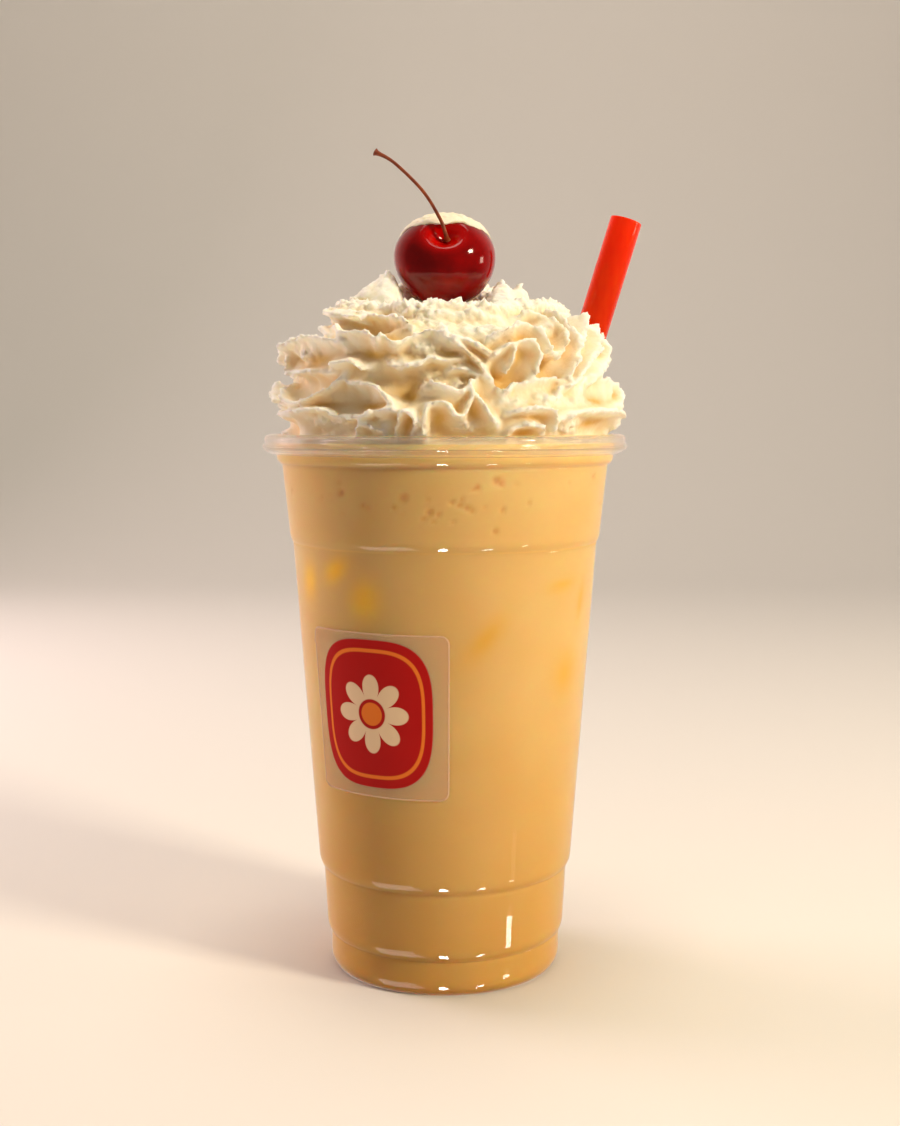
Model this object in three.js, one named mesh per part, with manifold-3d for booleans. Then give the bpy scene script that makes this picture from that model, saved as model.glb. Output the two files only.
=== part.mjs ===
// A vanilla milkshake in a clear plastic takeaway cup, filled to the brim and
// topped with piped whipped cream, a cherry on its stem and a drinking straw.
// Millimetres, +Z up, origin at the centre of the cup's foot. The front, where
// the cherry's dimple looks, is -Y.

import * as THREE from "three";
import { ParametricGeometry } from "three/addons/geometries/ParametricGeometry.js";
import { mergeVertices } from "three/addons/utils/BufferGeometryUtils.js";
import Module from "manifold-3d";

// Cup, a thin moulded wall with stacking steps and a rolled rim
const CUP_WALL = 0.6;
const CUP_SIDES = 36;
const FOOT_CONTACT = 28.8;
const FOOT = { low: 4, high: 8.5, lowRadius: 31.6, highRadius: 31.5 };
const BAND = { low: 13.1, high: 26.8, lowRadius: 32.7, highRadius: 33.4 };
const BODY = { low: 31.4, high: 115.6, lowRadius: 34.75, highRadius: 41.05 };
const COLLAR = { low: 119.8, high: 136.9, lowRadius: 42.05, highRadius: 43.85 };
const NECK = { low: 139.2, high: 143.5, lowRadius: 45.3, highRadius: 45.7 };
const CUP_SECTIONS = [FOOT, BAND, BODY, COLLAR, NECK];
// Where the rounded shoulder of a step bulges, as shares of its spread and its rise
const SHOULDER = { spread: 0.72, rise: 0.55 };
const BEAD_RADIUS = 1.5;
const BEAD_CENTRE = { radius: 46.95, height: 143.7 };
const BEAD_ARC = { from: 160, to: -20 };
const LIP = { radius: 49, height: 142, under: 48.6, underHeight: 141, tuck: 46.3, tuckHeight: 139.9 };

// Room between pieces that touch
const GAP = 0.3;

// Drink, up to the neck of the cup
const DRINK_LEVEL = 139.3;

// Straw, a plain tube leaning to the right and a little back
const STRAW_RADIUS = 4.5;
const STRAW_WALL = 0.45;
const STRAW_SIDES = 24;
const STRAW_FOOT = new THREE.Vector3(-10.7, 16, 4);
const STRAW_LEAN = new THREE.Vector3(0.307, 0.03, 1).normalize();
const STRAW_LENGTH = 210;

// Cherry, its stem and the cream smeared over its crown
const CHERRY_CENTRE = new THREE.Vector3(0, -2, 191.8);
const CHERRY_RADIUS = 13.3;
const CHERRY_HALF_HEIGHT = 12.4;
const CHERRY_SHOULDER = 0.05;
const CHERRY_CROWN = 0.83;
const CHERRY_TILT = THREE.MathUtils.degToRad(58);
const DIMPLE_DEPTH = 4.4;
const DIMPLE_RADIUS = 3.7;
const CHERRY_STEPS = 20;
const CHERRY_SIDES = 24;
const STEM_ROUTE = [
  new THREE.Vector3(0.6, -9.9, 196.1),
  new THREE.Vector3(-1.3, -11, 201),
  new THREE.Vector3(-5.8, -9, 208.3),
  new THREE.Vector3(-13.3, -7, 215.8),
  new THREE.Vector3(-18.2, -5.6, 218.7),
];
const STEM = { base: 0.95, slim: 0.5, knob: 1.15, baseFall: 9, knobFall: 14, steps: 22, sides: 6 };
const SMEAR_AXIS = THREE.MathUtils.degToRad(28);
const SMEAR_SPREAD = THREE.MathUtils.degToRad(64);
const SMEAR_THICKNESS = 1.1;
const SMEAR_EDGE = 0.4;
const SMEAR_ROOM = 1.08;
const SMEAR_WAVES = [{ count: 5, height: 0.05, shift: 1 }, { count: 9, height: 0.03, shift: 0 }];
const SMEAR_SIDES = 24;
const SMEAR_STEPS = 10;

// Whipped cream, three piped rings on a mound. Each ring is a ridged rope whose
// ridges wind round it and sway, as a star nozzle leaves them.
const CREAM_RINGS = [
  {
    radius: 34.2, height: 152, tube: 10.6, slope: 0, saddle: 0,
    ridges: 7, depth: 0.36, winds: 4, sway: 0.13, waves: 7, wander: 1.7, shift: 0.4, steps: 72,
  },
  {
    radius: 30.6, height: 164.6, tube: 10.4, slope: 2.6, saddle: 0,
    ridges: 7, depth: 0.38, winds: -4, sway: 0.15, waves: 6, wander: 1.5, shift: 2.1, steps: 64,
  },
  {
    radius: 18.6, height: 174.6, tube: 9, slope: -0.6, saddle: 2.6,
    ridges: 6, depth: 0.4, winds: 3, sway: 0.15, waves: 5, wander: 1.2, shift: 1.2, steps: 46,
  },
];
const SECTION_STEPS_PER_RIDGE = 4;
const RIDGE_SHARPNESS = 1.5;
const RIDGE_MEAN = 0.45;
const CUT_DEPTH = 20;
const CUT_REACH = 60;
const CREAM_BASE = DRINK_LEVEL + GAP;
const MOUND = [
  [0, CREAM_BASE],
  [44.4, CREAM_BASE],
  [44.7, BEAD_CENTRE.height],
  [35, 152],
  [31, 165],
  [15, 176],
  [0, 181],
];

// Label, a square of film on the cup's front left
const LABEL = { width: 38.6, bottom: 53.2, top: 95.9, corner: 2.4, film: 0.25, cornerSteps: 3 };
const LABEL_TURN = THREE.MathUtils.degToRad(-28.4);
const LABEL_REACH = 60;

const PLASTIC = { color: 0xf3efe8, roughness: 0.08, metalness: 0, transparent: true, opacity: 0.3 };
const SHAKE = { color: 0xe9c48c, roughness: 0.5, metalness: 0 };
const CREAM = { color: 0xf7e8c4, roughness: 0.6, metalness: 0 };
const CHERRY_SKIN = { color: 0x6d0709, roughness: 0.12, metalness: 0 };
const STEM_WOOD = { color: 0x8a4a1c, roughness: 0.6, metalness: 0 };
const STRAW_PLASTIC = { color: 0xf03410, roughness: 0.3, metalness: 0 };
const LABEL_FILM = { color: 0xd23a2a, roughness: 0.5, metalness: 0 };

const wasm = await Module();
wasm.setup();
const group = new THREE.Group();

// The closed solid of a geometry, with its shared points merged and its empty triangles dropped.
function solidOf(geometry) {
  const bare = geometry.clone();
  bare.deleteAttribute("normal");
  bare.deleteAttribute("uv");
  const merged = mergeVertices(bare, 1e-4);
  const corners = merged.index.array;
  const triangles = [];
  for (let i = 0; i < corners.length; i += 3) {
    const [a, b, c] = corners.slice(i, i + 3);
    if (a !== b && b !== c && c !== a) triangles.push(a, b, c);
  }
  const mesh = new wasm.Mesh({
    numProp: 3,
    vertProperties: merged.attributes.position.array,
    triVerts: new Uint32Array(triangles),
  });
  return new wasm.Manifold(mesh);
}

// The largest single body of a solid, which leaves loose scraps of a cut behind.
function mainBody(solid) {
  const bodies = solid.decompose();
  return bodies.reduce((best, body) => (body.volume() > best.volume() ? body : best));
}

// A named mesh of a solid, added to the model.
function addPiece(name, solid, finish) {
  const { vertProperties, triVerts } = solid.getMesh();
  const geometry = new THREE.BufferGeometry();
  geometry.setAttribute("position", new THREE.BufferAttribute(vertProperties, 3));
  geometry.setIndex(new THREE.BufferAttribute(triVerts, 1));
  geometry.computeVertexNormals();
  const mesh = new THREE.Mesh(geometry, new THREE.MeshStandardMaterial(finish));
  mesh.name = name;
  group.add(mesh);
}

// A profile of (radius, height) points turned once round the Z axis.
function turned(profile, sides) {
  const points = profile.map(([radius, height]) => new THREE.Vector2(Math.max(radius, 0), height));
  return new THREE.LatheGeometry(points, sides).rotateX(Math.PI / 2);
}

// A profile moved sideways: to the right of its run for a positive distance.
function besideProfile(profile, distance) {
  return profile.map((point, i) => {
    const before = profile[Math.max(i - 1, 0)];
    const after = profile[Math.min(i + 1, profile.length - 1)];
    const run = new THREE.Vector2(after[0] - before[0], after[1] - before[1]).normalize();
    const onAxis = i === 0;
    const aside = onAxis ? new THREE.Vector2(0, -1) : new THREE.Vector2(run.y, -run.x);
    return [point[0] + aside.x * distance, point[1] + aside.y * distance];
  });
}

// Points of an arc from one angle to another, in degrees.
function arc(centre, radius, from, to, steps) {
  return Array.from({ length: steps + 1 }, (_, i) => {
    const angle = THREE.MathUtils.degToRad(from + ((to - from) * i) / steps);
    return [centre[0] + radius * Math.cos(angle), centre[1] + radius * Math.sin(angle)];
  });
}

// The inside of the cup, from the middle of its floor to the top of its neck.
function insideOfCup() {
  const round = FOOT.lowRadius - FOOT_CONTACT;
  const points = [[0, CUP_WALL]];
  points.push(...arc([FOOT_CONTACT, round], round - CUP_WALL, -90, -30, 2));
  for (const [i, section] of CUP_SECTIONS.entries()) {
    points.push([section.lowRadius - CUP_WALL, section.low]);
    points.push([section.highRadius - CUP_WALL, section.high]);
    const next = CUP_SECTIONS[i + 1];
    if (!next) continue;
    const bulge = THREE.MathUtils.lerp(section.highRadius, next.lowRadius, SHOULDER.spread);
    points.push([bulge - CUP_WALL, THREE.MathUtils.lerp(section.high, next.low, SHOULDER.rise)]);
  }
  return points;
}

// Clear cup: the wall follows its own inside up, over the rolled rim and under the lip
function cupSolid() {
  const bead = [BEAD_CENTRE.radius, BEAD_CENTRE.height];
  const run = [
    ...insideOfCup(),
    ...arc(bead, BEAD_RADIUS, BEAD_ARC.from, BEAD_ARC.to, 4),
    [LIP.radius, LIP.height],
    [LIP.under, LIP.underHeight],
    [LIP.tuck, LIP.tuckHeight],
  ];
  const outside = besideProfile(run, CUP_WALL);
  return solidOf(turned([...outside, ...run.reverse()], CUP_SIDES));
}

// A cylinder or tube along the straw, from inner to outer radius and longer by a margin at each end
function alongStraw(inner, outer, margin) {
  const ends = [-margin, STRAW_LENGTH + margin];
  const profile = [[inner, ends[0]], [outer, ends[0]], [outer, ends[1]], [inner, ends[1]], [inner, ends[0]]];
  const lean = new THREE.Quaternion().setFromUnitVectors(new THREE.Vector3(0, 0, 1), STRAW_LEAN);
  const geometry = turned(inner > 0 ? profile : profile.slice(0, 4), STRAW_SIDES);
  geometry.applyQuaternion(lean).translate(STRAW_FOOT.x, STRAW_FOOT.y, STRAW_FOOT.z);
  return solidOf(geometry);
}

// Drink: the inside of the cup up to its level, cut round the straw's wall, which it also fills
function drinkSolid() {
  const wall = insideOfCup().filter(([, height]) => height < DRINK_LEVEL - GAP);
  const inset = besideProfile(wall, -GAP);
  const edge = NECK.lowRadius - CUP_WALL - GAP;
  const profile = [...inset, [edge, DRINK_LEVEL], [0, DRINK_LEVEL]];
  const strawInside = STRAW_RADIUS - STRAW_WALL;
  return solidOf(turned(profile, CUP_SIDES)).subtract(
    alongStraw(strawInside - GAP, STRAW_RADIUS + GAP, GAP),
  );
}

// Half section of the cherry from its tip to the bottom of the dimple, about its own axis
function cherryPoint(polar) {
  const radius = CHERRY_RADIUS * Math.sin(polar) * (1 + CHERRY_SHOULDER * Math.cos(polar));
  const dimpled = Math.cos(polar) > 0;
  const dip = dimpled ? DIMPLE_DEPTH * Math.exp(-((radius / DIMPLE_RADIUS) ** 2)) : 0;
  return [radius, CHERRY_HALF_HEIGHT * Math.cos(polar) - dip];
}

// Cherry, turned about its axis, grown by a margin, tilted to the front and flatter above than below
function cherrySolid(margin) {
  const profile = Array.from({ length: CHERRY_STEPS + 1 }, (_, i) => {
    const [radius, height] = cherryPoint(Math.PI * (1 - i / CHERRY_STEPS));
    return [i === 0 || i === CHERRY_STEPS ? 0 : radius, height];
  });
  const geometry = turned(profile, CHERRY_SIDES);
  const grown = (CHERRY_RADIUS + margin) / CHERRY_RADIUS;
  geometry.scale(grown, grown, grown).rotateX(CHERRY_TILT);
  const points = geometry.attributes.position;
  for (let i = 0; i < points.count; i += 1) {
    if (points.getZ(i) > 0) points.setZ(i, points.getZ(i) * CHERRY_CROWN);
  }
  geometry.translate(CHERRY_CENTRE.x, CHERRY_CENTRE.y, CHERRY_CENTRE.z);
  return solidOf(geometry);
}

// Distance from the cherry's centre to its skin, without the dimple, towards a world direction
function cherryReach(direction) {
  const axis = new THREE.Vector3(0, -Math.sin(CHERRY_TILT), Math.cos(CHERRY_TILT));
  const round = direction.clone();
  if (round.z > 0) round.z /= CHERRY_CROWN;
  const stretch = round.length();
  round.normalize();
  const along = round.dot(axis);
  const across = Math.sqrt(Math.max(1 - along * along, 0));
  const girth = CHERRY_RADIUS * (1 + CHERRY_SHOULDER * along);
  return 1 / Math.hypot(along / CHERRY_HALF_HEIGHT, across / girth) / stretch;
}

// Cream smeared over the back of the cherry's crown, a skin that thins at its uneven edge
function smearSolid(inset, thickness, spread) {
  const middle = new THREE.Vector3(0, Math.sin(SMEAR_AXIS), Math.cos(SMEAR_AXIS));
  const across = new THREE.Vector3(1, 0, 0);
  const along = new THREE.Vector3().crossVectors(middle, across);
  const skin = (u, v, target) => {
    const turn = -2 * Math.PI * u;
    const outside = v < 0.5;
    const share = outside ? 2 * v : 2 * (1 - v);
    const waves = SMEAR_WAVES.map(({ count, height, shift }) => height * Math.sin(count * turn + shift));
    const uneven = waves.reduce((sum, wave) => sum + wave, 1);
    const polar = spread * uneven * share;
    const side = new THREE.Vector3()
      .addScaledVector(across, Math.cos(turn))
      .addScaledVector(along, Math.sin(turn));
    const direction = middle.clone().multiplyScalar(Math.cos(polar)).addScaledVector(side, Math.sin(polar));
    const layer = outside ? SMEAR_EDGE + (thickness - SMEAR_EDGE) * (1 - share ** 4) : 0;
    target.copy(direction).multiplyScalar(cherryReach(direction) + inset + layer).add(CHERRY_CENTRE);
  };
  return solidOf(new ParametricGeometry(skin, SMEAR_SIDES, SMEAR_STEPS));
}

// Stem: a slim round stalk, thick where it leaves the dimple, with a cut knob at its far end
function stemSolid() {
  const route = new THREE.CatmullRomCurve3(STEM_ROUTE);
  const lengths = STEM.steps - 2;
  const frames = route.computeFrenetFrames(lengths, false);
  const stalk = (u, v, target) => {
    const step = Math.round(v * STEM.steps);
    const station = THREE.MathUtils.clamp(step - 1, 0, lengths);
    const share = station / lengths;
    const turn = 2 * Math.PI * u;
    const swell = (STEM.base - STEM.slim) * Math.exp(-share * STEM.baseFall);
    const knob = (STEM.knob - STEM.slim) * Math.exp(-(1 - share) * STEM.knobFall);
    const isEnd = step === 0 || step === STEM.steps;
    const radius = isEnd ? 0 : STEM.slim + swell + knob;
    route.getPointAt(share, target);
    target.addScaledVector(frames.normals[station], radius * Math.cos(turn));
    target.addScaledVector(frames.binormals[station], radius * Math.sin(turn));
  };
  return solidOf(new ParametricGeometry(stalk, STEM.sides, STEM.steps));
}

// One ridged ring of cream, each of its sections in an upright plane through the cup's axis
function creamRing(ring) {
  const rope = (u, v, target) => {
    const turn = 2 * Math.PI * u;
    const around = 2 * Math.PI * v;
    const wave = Math.sin(ring.waves * turn + ring.shift);
    const phase = (ring.winds * turn) / ring.ridges + ring.sway * wave;
    const ridge = (0.5 + 0.5 * Math.cos(ring.ridges * (around - phase))) ** RIDGE_SHARPNESS;
    const reach = ring.tube * (1 + ring.depth * (ridge - RIDGE_MEAN));
    const wander = ring.wander * Math.sin(ring.waves * turn + 2 * ring.shift);
    const radius = ring.radius + wander + reach * Math.cos(around);
    const rise = ring.slope * Math.cos(turn) + ring.saddle * Math.cos(2 * turn);
    const height = ring.height + rise + reach * Math.sin(around);
    target.set(radius * Math.cos(turn), radius * Math.sin(turn), height);
  };
  return solidOf(new ParametricGeometry(rope, ring.steps, ring.ridges * SECTION_STEPS_PER_RIDGE));
}

// Whipped cream: rings on a mound that fills the neck, clear of the rim, the straw and the cherry
function creamSolid() {
  const neckLow = [NECK.lowRadius - CUP_WALL - GAP, CREAM_BASE - CUT_DEPTH];
  const rimTop = BEAD_CENTRE.height + BEAD_RADIUS + GAP;
  const bead = [BEAD_CENTRE.radius, BEAD_CENTRE.height];
  const rimRoom = [
    neckLow,
    [CUT_REACH, neckLow[1]],
    [CUT_REACH, rimTop],
    ...arc(bead, BEAD_RADIUS + GAP, 90, BEAD_ARC.from, 3),
    [NECK.highRadius - CUP_WALL - GAP, NECK.high],
    [neckLow[0], NECK.low],
    neckLow,
  ];
  const underside = [
    [0, neckLow[1]],
    [CUT_REACH, neckLow[1]],
    [CUT_REACH, CREAM_BASE],
    [0, CREAM_BASE],
  ];
  let cream = solidOf(turned(MOUND, CUP_SIDES));
  for (const ring of CREAM_RINGS) cream = cream.add(creamRing(ring));
  const cuts = [
    solidOf(turned(rimRoom, CUP_SIDES)),
    solidOf(turned(underside, CUP_SIDES)),
    alongStraw(0, STRAW_RADIUS + GAP, GAP),
    cherrySolid(GAP),
    smearSolid(0, SMEAR_THICKNESS + 2 * GAP, SMEAR_SPREAD * SMEAR_ROOM),
  ];
  for (const cut of cuts) cream = cream.subtract(cut);
  return mainBody(cream);
}

// Label: a thin conical band round the cup, trimmed to a square with round corners
function labelSolid() {
  const radiusAt = (height) => {
    const share = (height - BODY.low) / (BODY.high - BODY.low);
    return THREE.MathUtils.lerp(BODY.lowRadius, BODY.highRadius, share) + GAP;
  };
  const { bottom, top, film, corner, cornerSteps } = LABEL;
  const low = bottom - corner;
  const high = top + corner;
  const band = [
    [radiusAt(low), low],
    [radiusAt(low) + film, low],
    [radiusAt(high) + film, high],
    [radiusAt(high), high],
    [radiusAt(low), low],
  ];
  const half = LABEL.width / 2;
  const square = new THREE.Shape();
  square.absarc(half - corner, bottom + corner, corner, -Math.PI / 2, 0);
  square.absarc(half - corner, top - corner, corner, 0, Math.PI / 2);
  square.absarc(-half + corner, top - corner, corner, Math.PI / 2, Math.PI);
  square.absarc(-half + corner, bottom + corner, corner, Math.PI, 1.5 * Math.PI);
  const punch = { depth: LABEL_REACH, bevelEnabled: false, curveSegments: cornerSteps };
  const die = new THREE.ExtrudeGeometry(square, punch);
  die.rotateX(Math.PI / 2).rotateZ(LABEL_TURN);
  return mainBody(solidOf(turned(band, CUP_SIDES * 2)).intersect(solidOf(die)));
}

addPiece("cup", cupSolid(), PLASTIC);
addPiece("milkshake", drinkSolid(), SHAKE);
addPiece("whipped_cream", creamSolid(), CREAM);
addPiece("cherry", cherrySolid(0), CHERRY_SKIN);
addPiece("cherry_stem", stemSolid(), STEM_WOOD);
addPiece("cherry_cream", smearSolid(GAP, SMEAR_THICKNESS, SMEAR_SPREAD), CREAM);
addPiece("straw", alongStraw(STRAW_RADIUS - STRAW_WALL, STRAW_RADIUS, 0), STRAW_PLASTIC);
addPiece("label", labelSolid(), LABEL_FILM);

export default group;
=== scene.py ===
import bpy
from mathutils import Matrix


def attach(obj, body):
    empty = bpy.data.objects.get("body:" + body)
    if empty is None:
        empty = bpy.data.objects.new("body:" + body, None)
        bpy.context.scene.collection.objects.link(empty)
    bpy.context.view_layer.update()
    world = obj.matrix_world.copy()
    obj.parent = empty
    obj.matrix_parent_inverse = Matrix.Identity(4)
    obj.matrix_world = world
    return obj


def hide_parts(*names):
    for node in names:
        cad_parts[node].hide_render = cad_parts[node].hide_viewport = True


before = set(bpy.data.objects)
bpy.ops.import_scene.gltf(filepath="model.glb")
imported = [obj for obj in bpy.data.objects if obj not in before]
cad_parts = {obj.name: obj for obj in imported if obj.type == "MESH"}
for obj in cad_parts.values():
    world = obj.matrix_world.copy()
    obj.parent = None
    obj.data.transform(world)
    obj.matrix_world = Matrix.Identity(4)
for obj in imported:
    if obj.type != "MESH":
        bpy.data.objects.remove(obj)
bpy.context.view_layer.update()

import random
from math import atan2, cos, exp, hypot, pi, radians, sin, sqrt, tau

import bmesh
import bpy
import numpy as np
from mathutils import Matrix, Vector, kdtree, noise

# Studio: a pale paper sweep that curves up behind the cup, a warm soft box at the front right,
# a dimmer one at the left, and a camera a little above the rim, looking slightly down.
SWEEP_HALF_WIDTH = 3.0
SWEEP_FRONT = -2.0
SWEEP_BACK = 0.9
SWEEP_BEND = 0.6
SWEEP_BEND_STEPS = 16
SWEEP_TOP = 2.6
PAPER = (0.80, 0.765, 0.72, 1)
ROOM_TONE = (1.0, 0.86, 0.76, 1)
ROOM_DIM = 0.14
ROOM_PALE = 0.8
CAMERA_PLACE = (0.001361, -0.40349, 0.14968)
CAMERA_PITCH = radians(5.604)
CAMERA_LENS = 47.55
CAMERA_SENSOR = 36


def shares(count):
    """Even shares from 0 to 1, in a number of steps."""
    return [i / count for i in range(count + 1)]


def new_material(name):
    """A material with its nodes, its links and its surface shader."""
    material = bpy.data.materials.new(name)
    material.use_nodes = True
    tree = material.node_tree
    return material, tree.nodes, tree.links, tree.nodes["Principled BSDF"]


def make_piece(name, bm, material):
    """A smooth-shaded object of a finished mesh, at the origin."""
    mesh = bpy.data.meshes.new(name)
    bm.to_mesh(mesh)
    bm.free()
    mesh.shade_smooth()
    mesh.materials.append(material)
    piece = bpy.data.objects.new(name, mesh)
    bpy.context.scene.collection.objects.link(piece)
    return piece


paper, nodes, links, shader = new_material("sweep_paper")
shader.inputs["Base Color"].default_value = PAPER
shader.inputs["Roughness"].default_value = 0.9
bm = bmesh.new()
bend_points = [
    (SWEEP_BACK + SWEEP_BEND * sin(turn), SWEEP_BEND * (1 - cos(turn)))
    for turn in (pi / 2 * share for share in shares(SWEEP_BEND_STEPS))
]
profile = [(SWEEP_FRONT, 0.0), *bend_points, (SWEEP_BACK + SWEEP_BEND, SWEEP_TOP)]
row = [bm.verts.new((-SWEEP_HALF_WIDTH, y, z)) for y, z in profile]
edges = [bm.edges.new(pair) for pair in zip(row, row[1:])]
grown = bmesh.ops.extrude_edge_only(bm, edges=edges)["geom"]
moved = [g for g in grown if isinstance(g, bmesh.types.BMVert)]
bmesh.ops.translate(bm, verts=moved, vec=(2 * SWEEP_HALF_WIDTH, 0, 0))
bmesh.ops.recalc_face_normals(bm, faces=bm.faces)
sweep = make_piece("paper_sweep", bm, paper)
sweep.visible_glossy = False


def soft_box(name, place, aim, sides, power, colour, in_gloss=True):
    """A soft light of two side lengths at place, turned to aim, that shiny surfaces may mirror."""
    lamp = bpy.data.lights.new(name, "AREA")
    lamp.shape = "RECTANGLE"
    lamp.size, lamp.size_y = sides
    lamp.energy = power
    lamp.color = colour
    holder = bpy.data.objects.new(name, lamp)
    holder.location = place
    holder.rotation_euler = (Vector(aim) - Vector(place)).to_track_quat("-Z", "Y").to_euler()
    holder.visible_glossy = in_gloss
    bpy.context.scene.collection.objects.link(holder)


MIDDLE = (0, 0, 0.12)
LOW = (0, 0, 0.02)
soft_box("key_light", (0.80, -0.54, 0.64), MIDDLE, (0.20, 0.20), 8.7, (1.0, 0.88, 0.67))
soft_box("fill_light", (-0.82, 0.40, 0.36), MIDDLE, (0.5, 0.5), 6.4, (1.0, 0.79, 0.82), False)
soft_box("side_light", (1.0, -0.05, 0.22), (0, 0, 0.19), (0.16, 0.16), 0.9, (1.0, 0.88, 0.70))
# Lamps below the paper, which glossy surfaces alone see, as a shiny floor would mirror them
soft_box("right_sheen", (0.807, -0.411, -0.40), LOW, (0.09, 0.09), 0.9, (1.0, 0.93, 0.80))
soft_box("front_sheen", (-0.02, -0.70, -0.75), LOW, (0.12, 0.28), 11.0, (1.0, 0.96, 0.88))
soft_box("near_sheen", (0.45, -0.54, -0.68), LOW, (0.09, 0.20), 3.2, (1.0, 0.96, 0.88))
soft_box("left_sheen", (-0.72, -0.56, -0.80), (0, 0, 0.14), (0.80, 0.50), 6.5, (1.0, 0.92, 0.88))
soft_box("right_glow", (0.82, -0.42, -0.335), LOW, (0.07, 0.07), 0.022, (1.0, 0.93, 0.80))
soft_box("top_light", (0.0, -0.10, 1.05), MIDDLE, (0.3, 0.3), 3.4, (1.0, 0.87, 0.66), False)
soft_box("backdrop_light", (0.0, 0.4, 1.9), (0, 1.5, 0.6), (0.9, 0.9), 9.0, (1.0, 0.96, 0.90))


def axis_of(vector, axis):
    """One coordinate of a vector socket, in the node tree at hand."""
    node = nodes.new("ShaderNodeSeparateXYZ")
    links.new(vector, node.inputs["Vector"])
    return node.outputs[axis]


def ranged(value, low, high, to_low=0.0, to_high=1.0):
    """A value stretched from one range to another and held there, in the node tree at hand."""
    node = nodes.new("ShaderNodeMapRange")
    links.new(value, node.inputs["Value"])
    limits = {"From Min": low, "From Max": high, "To Min": to_low, "To Max": to_high}
    for name, limit in limits.items():
        node.inputs[name].default_value = limit
    return node.outputs["Result"]


world = bpy.data.worlds.new("studio")
world.use_nodes = True
nodes, links = world.node_tree.nodes, world.node_tree.links
# The room is dim behind the camera and pale behind the cup, where glossy edges look
room = nodes["Background"]
room.inputs["Color"].default_value = ROOM_TONE
gaze = nodes.new("ShaderNodeTexCoord").outputs["Generated"]
paleness = ranged(axis_of(gaze, "Y"), 0.05, 0.7, ROOM_DIM, ROOM_PALE)
links.new(paleness, room.inputs["Strength"])
scene = bpy.context.scene
scene.world = world
scene.view_settings.view_transform = "Standard"

camera = bpy.data.cameras.new("camera")
camera.lens = CAMERA_LENS
camera.sensor_width = CAMERA_SENSOR
camera_holder = bpy.data.objects.new("camera", camera)
camera_holder.location = CAMERA_PLACE
camera_holder.rotation_euler = (pi / 2 - CAMERA_PITCH, 0, 0)
scene.collection.objects.link(camera_holder)
scene.camera = camera_holder

# Cup: clear thin plastic drawn into a mould, with three stacking steps and a hollow rim that is
# rolled outwards over a small bead. It stands on its flat foot.
CUP_WALL = 0.0006
CUP_SPIN = 160
FOOT_CONTACT = 0.0288
CUP_SECTIONS = [
    ("foot", 0.0040, 0.0085, 0.03160, 0.03150),
    ("band", 0.0131, 0.0268, 0.03270, 0.03340),
    ("body", 0.0314, 0.1156, 0.03475, 0.04105),
    ("collar", 0.1198, 0.1369, 0.04205, 0.04385),
    ("neck", 0.1392, 0.1435, 0.04530, 0.04570),
]
STEP_GROOVE = 0.00034
GROOVE_SHARE = 0.24
BEAD_CENTRE = (0.04695, 0.1437)
BEAD_RADIUS = 0.0015
BEAD_START = radians(160)
BEAD_SWEEP = radians(190)
BEAD_STEPS = 14
LIP_RADIUS = 0.0490
LIP_HEIGHT = 0.1420
# The roll of the lip, as steps inwards and downwards from its widest point
LIP_ROLL = [(0.00022, -0.00042), (0.0, 0.0), (0.0001, 0.0004), (0.0005, 0.0009), (0.0014, 0.0015)]
LIP_TUCK = (0.0463, 0.1399)
FOOT_POINTS = 8
STEP_POINTS = 18
CUP_ROUGHNESS = (0.015, 0.05)
CUP_THINNESS = 0.35


def smooth(t):
    """A rise from 0 to 1 that starts and ends level."""
    t = min(max(t, 0.0), 1.0)
    return t * t * (3 - 2 * t)


def cup_radius(height):
    """Outer radius of the cup's wall at a height above its foot."""
    foot = CUP_SECTIONS[0]
    if height < foot[1]:
        round_in = foot[3] - FOOT_CONTACT
        drop = max(1 - height / foot[1], 0.0)
        return FOOT_CONTACT + round_in * sqrt(max(1 - drop * drop, 0.0))
    for section, above in zip(CUP_SECTIONS, CUP_SECTIONS[1:] + [None]):
        _, low, high, low_radius, high_radius = section
        if height <= high or above is None:
            share = (height - low) / (high - low)
            return low_radius + (high_radius - low_radius) * min(share, 1.0)
        if height < above[1]:
            share = (height - high) / (above[1] - high)
            crease = high_radius - STEP_GROOVE
            if share < GROOVE_SHARE:
                return high_radius - STEP_GROOVE * (1 - cos(pi / 2 * share / GROOVE_SHARE))
            swell = 1 - (share - GROOVE_SHARE) / (1 - GROOVE_SHARE)
            return crease + (above[3] - crease) * sqrt(1 - swell * swell)
    return CUP_SECTIONS[-1][4]


def wall_heights(top):
    """Heights that follow the cup's foot, walls and steps closely, up to top."""
    foot_low = CUP_SECTIONS[0][1]
    heights = [foot_low * (1 - cos(pi / 2 * share)) for share in shares(FOOT_POINTS)[:-1]]
    for section, above in zip(CUP_SECTIONS, CUP_SECTIONS[1:] + [None]):
        heights += [section[1], (section[1] + section[2]) / 2]
        if above:
            rise = above[1] - section[2]
            heights += [section[2] + rise * share for share in shares(STEP_POINTS)[:-1]]
        else:
            heights.append(section[2])
    return [h for h in heights if h < top] + [top]


def beside(profile, distance):
    """A profile moved sideways, to the right of its run for a positive distance."""
    moved = []
    for i, (x, z) in enumerate(profile):
        before, after = profile[max(i - 1, 0)], profile[min(i + 1, len(profile) - 1)]
        run = Vector((after[0] - before[0], after[1] - before[1])).normalized()
        aside = Vector((0, -1)) if i == 0 else Vector((run.y, -run.x))
        moved.append((max(x + aside.x * distance, 0.0), z + aside.y * distance))
    return moved


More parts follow.
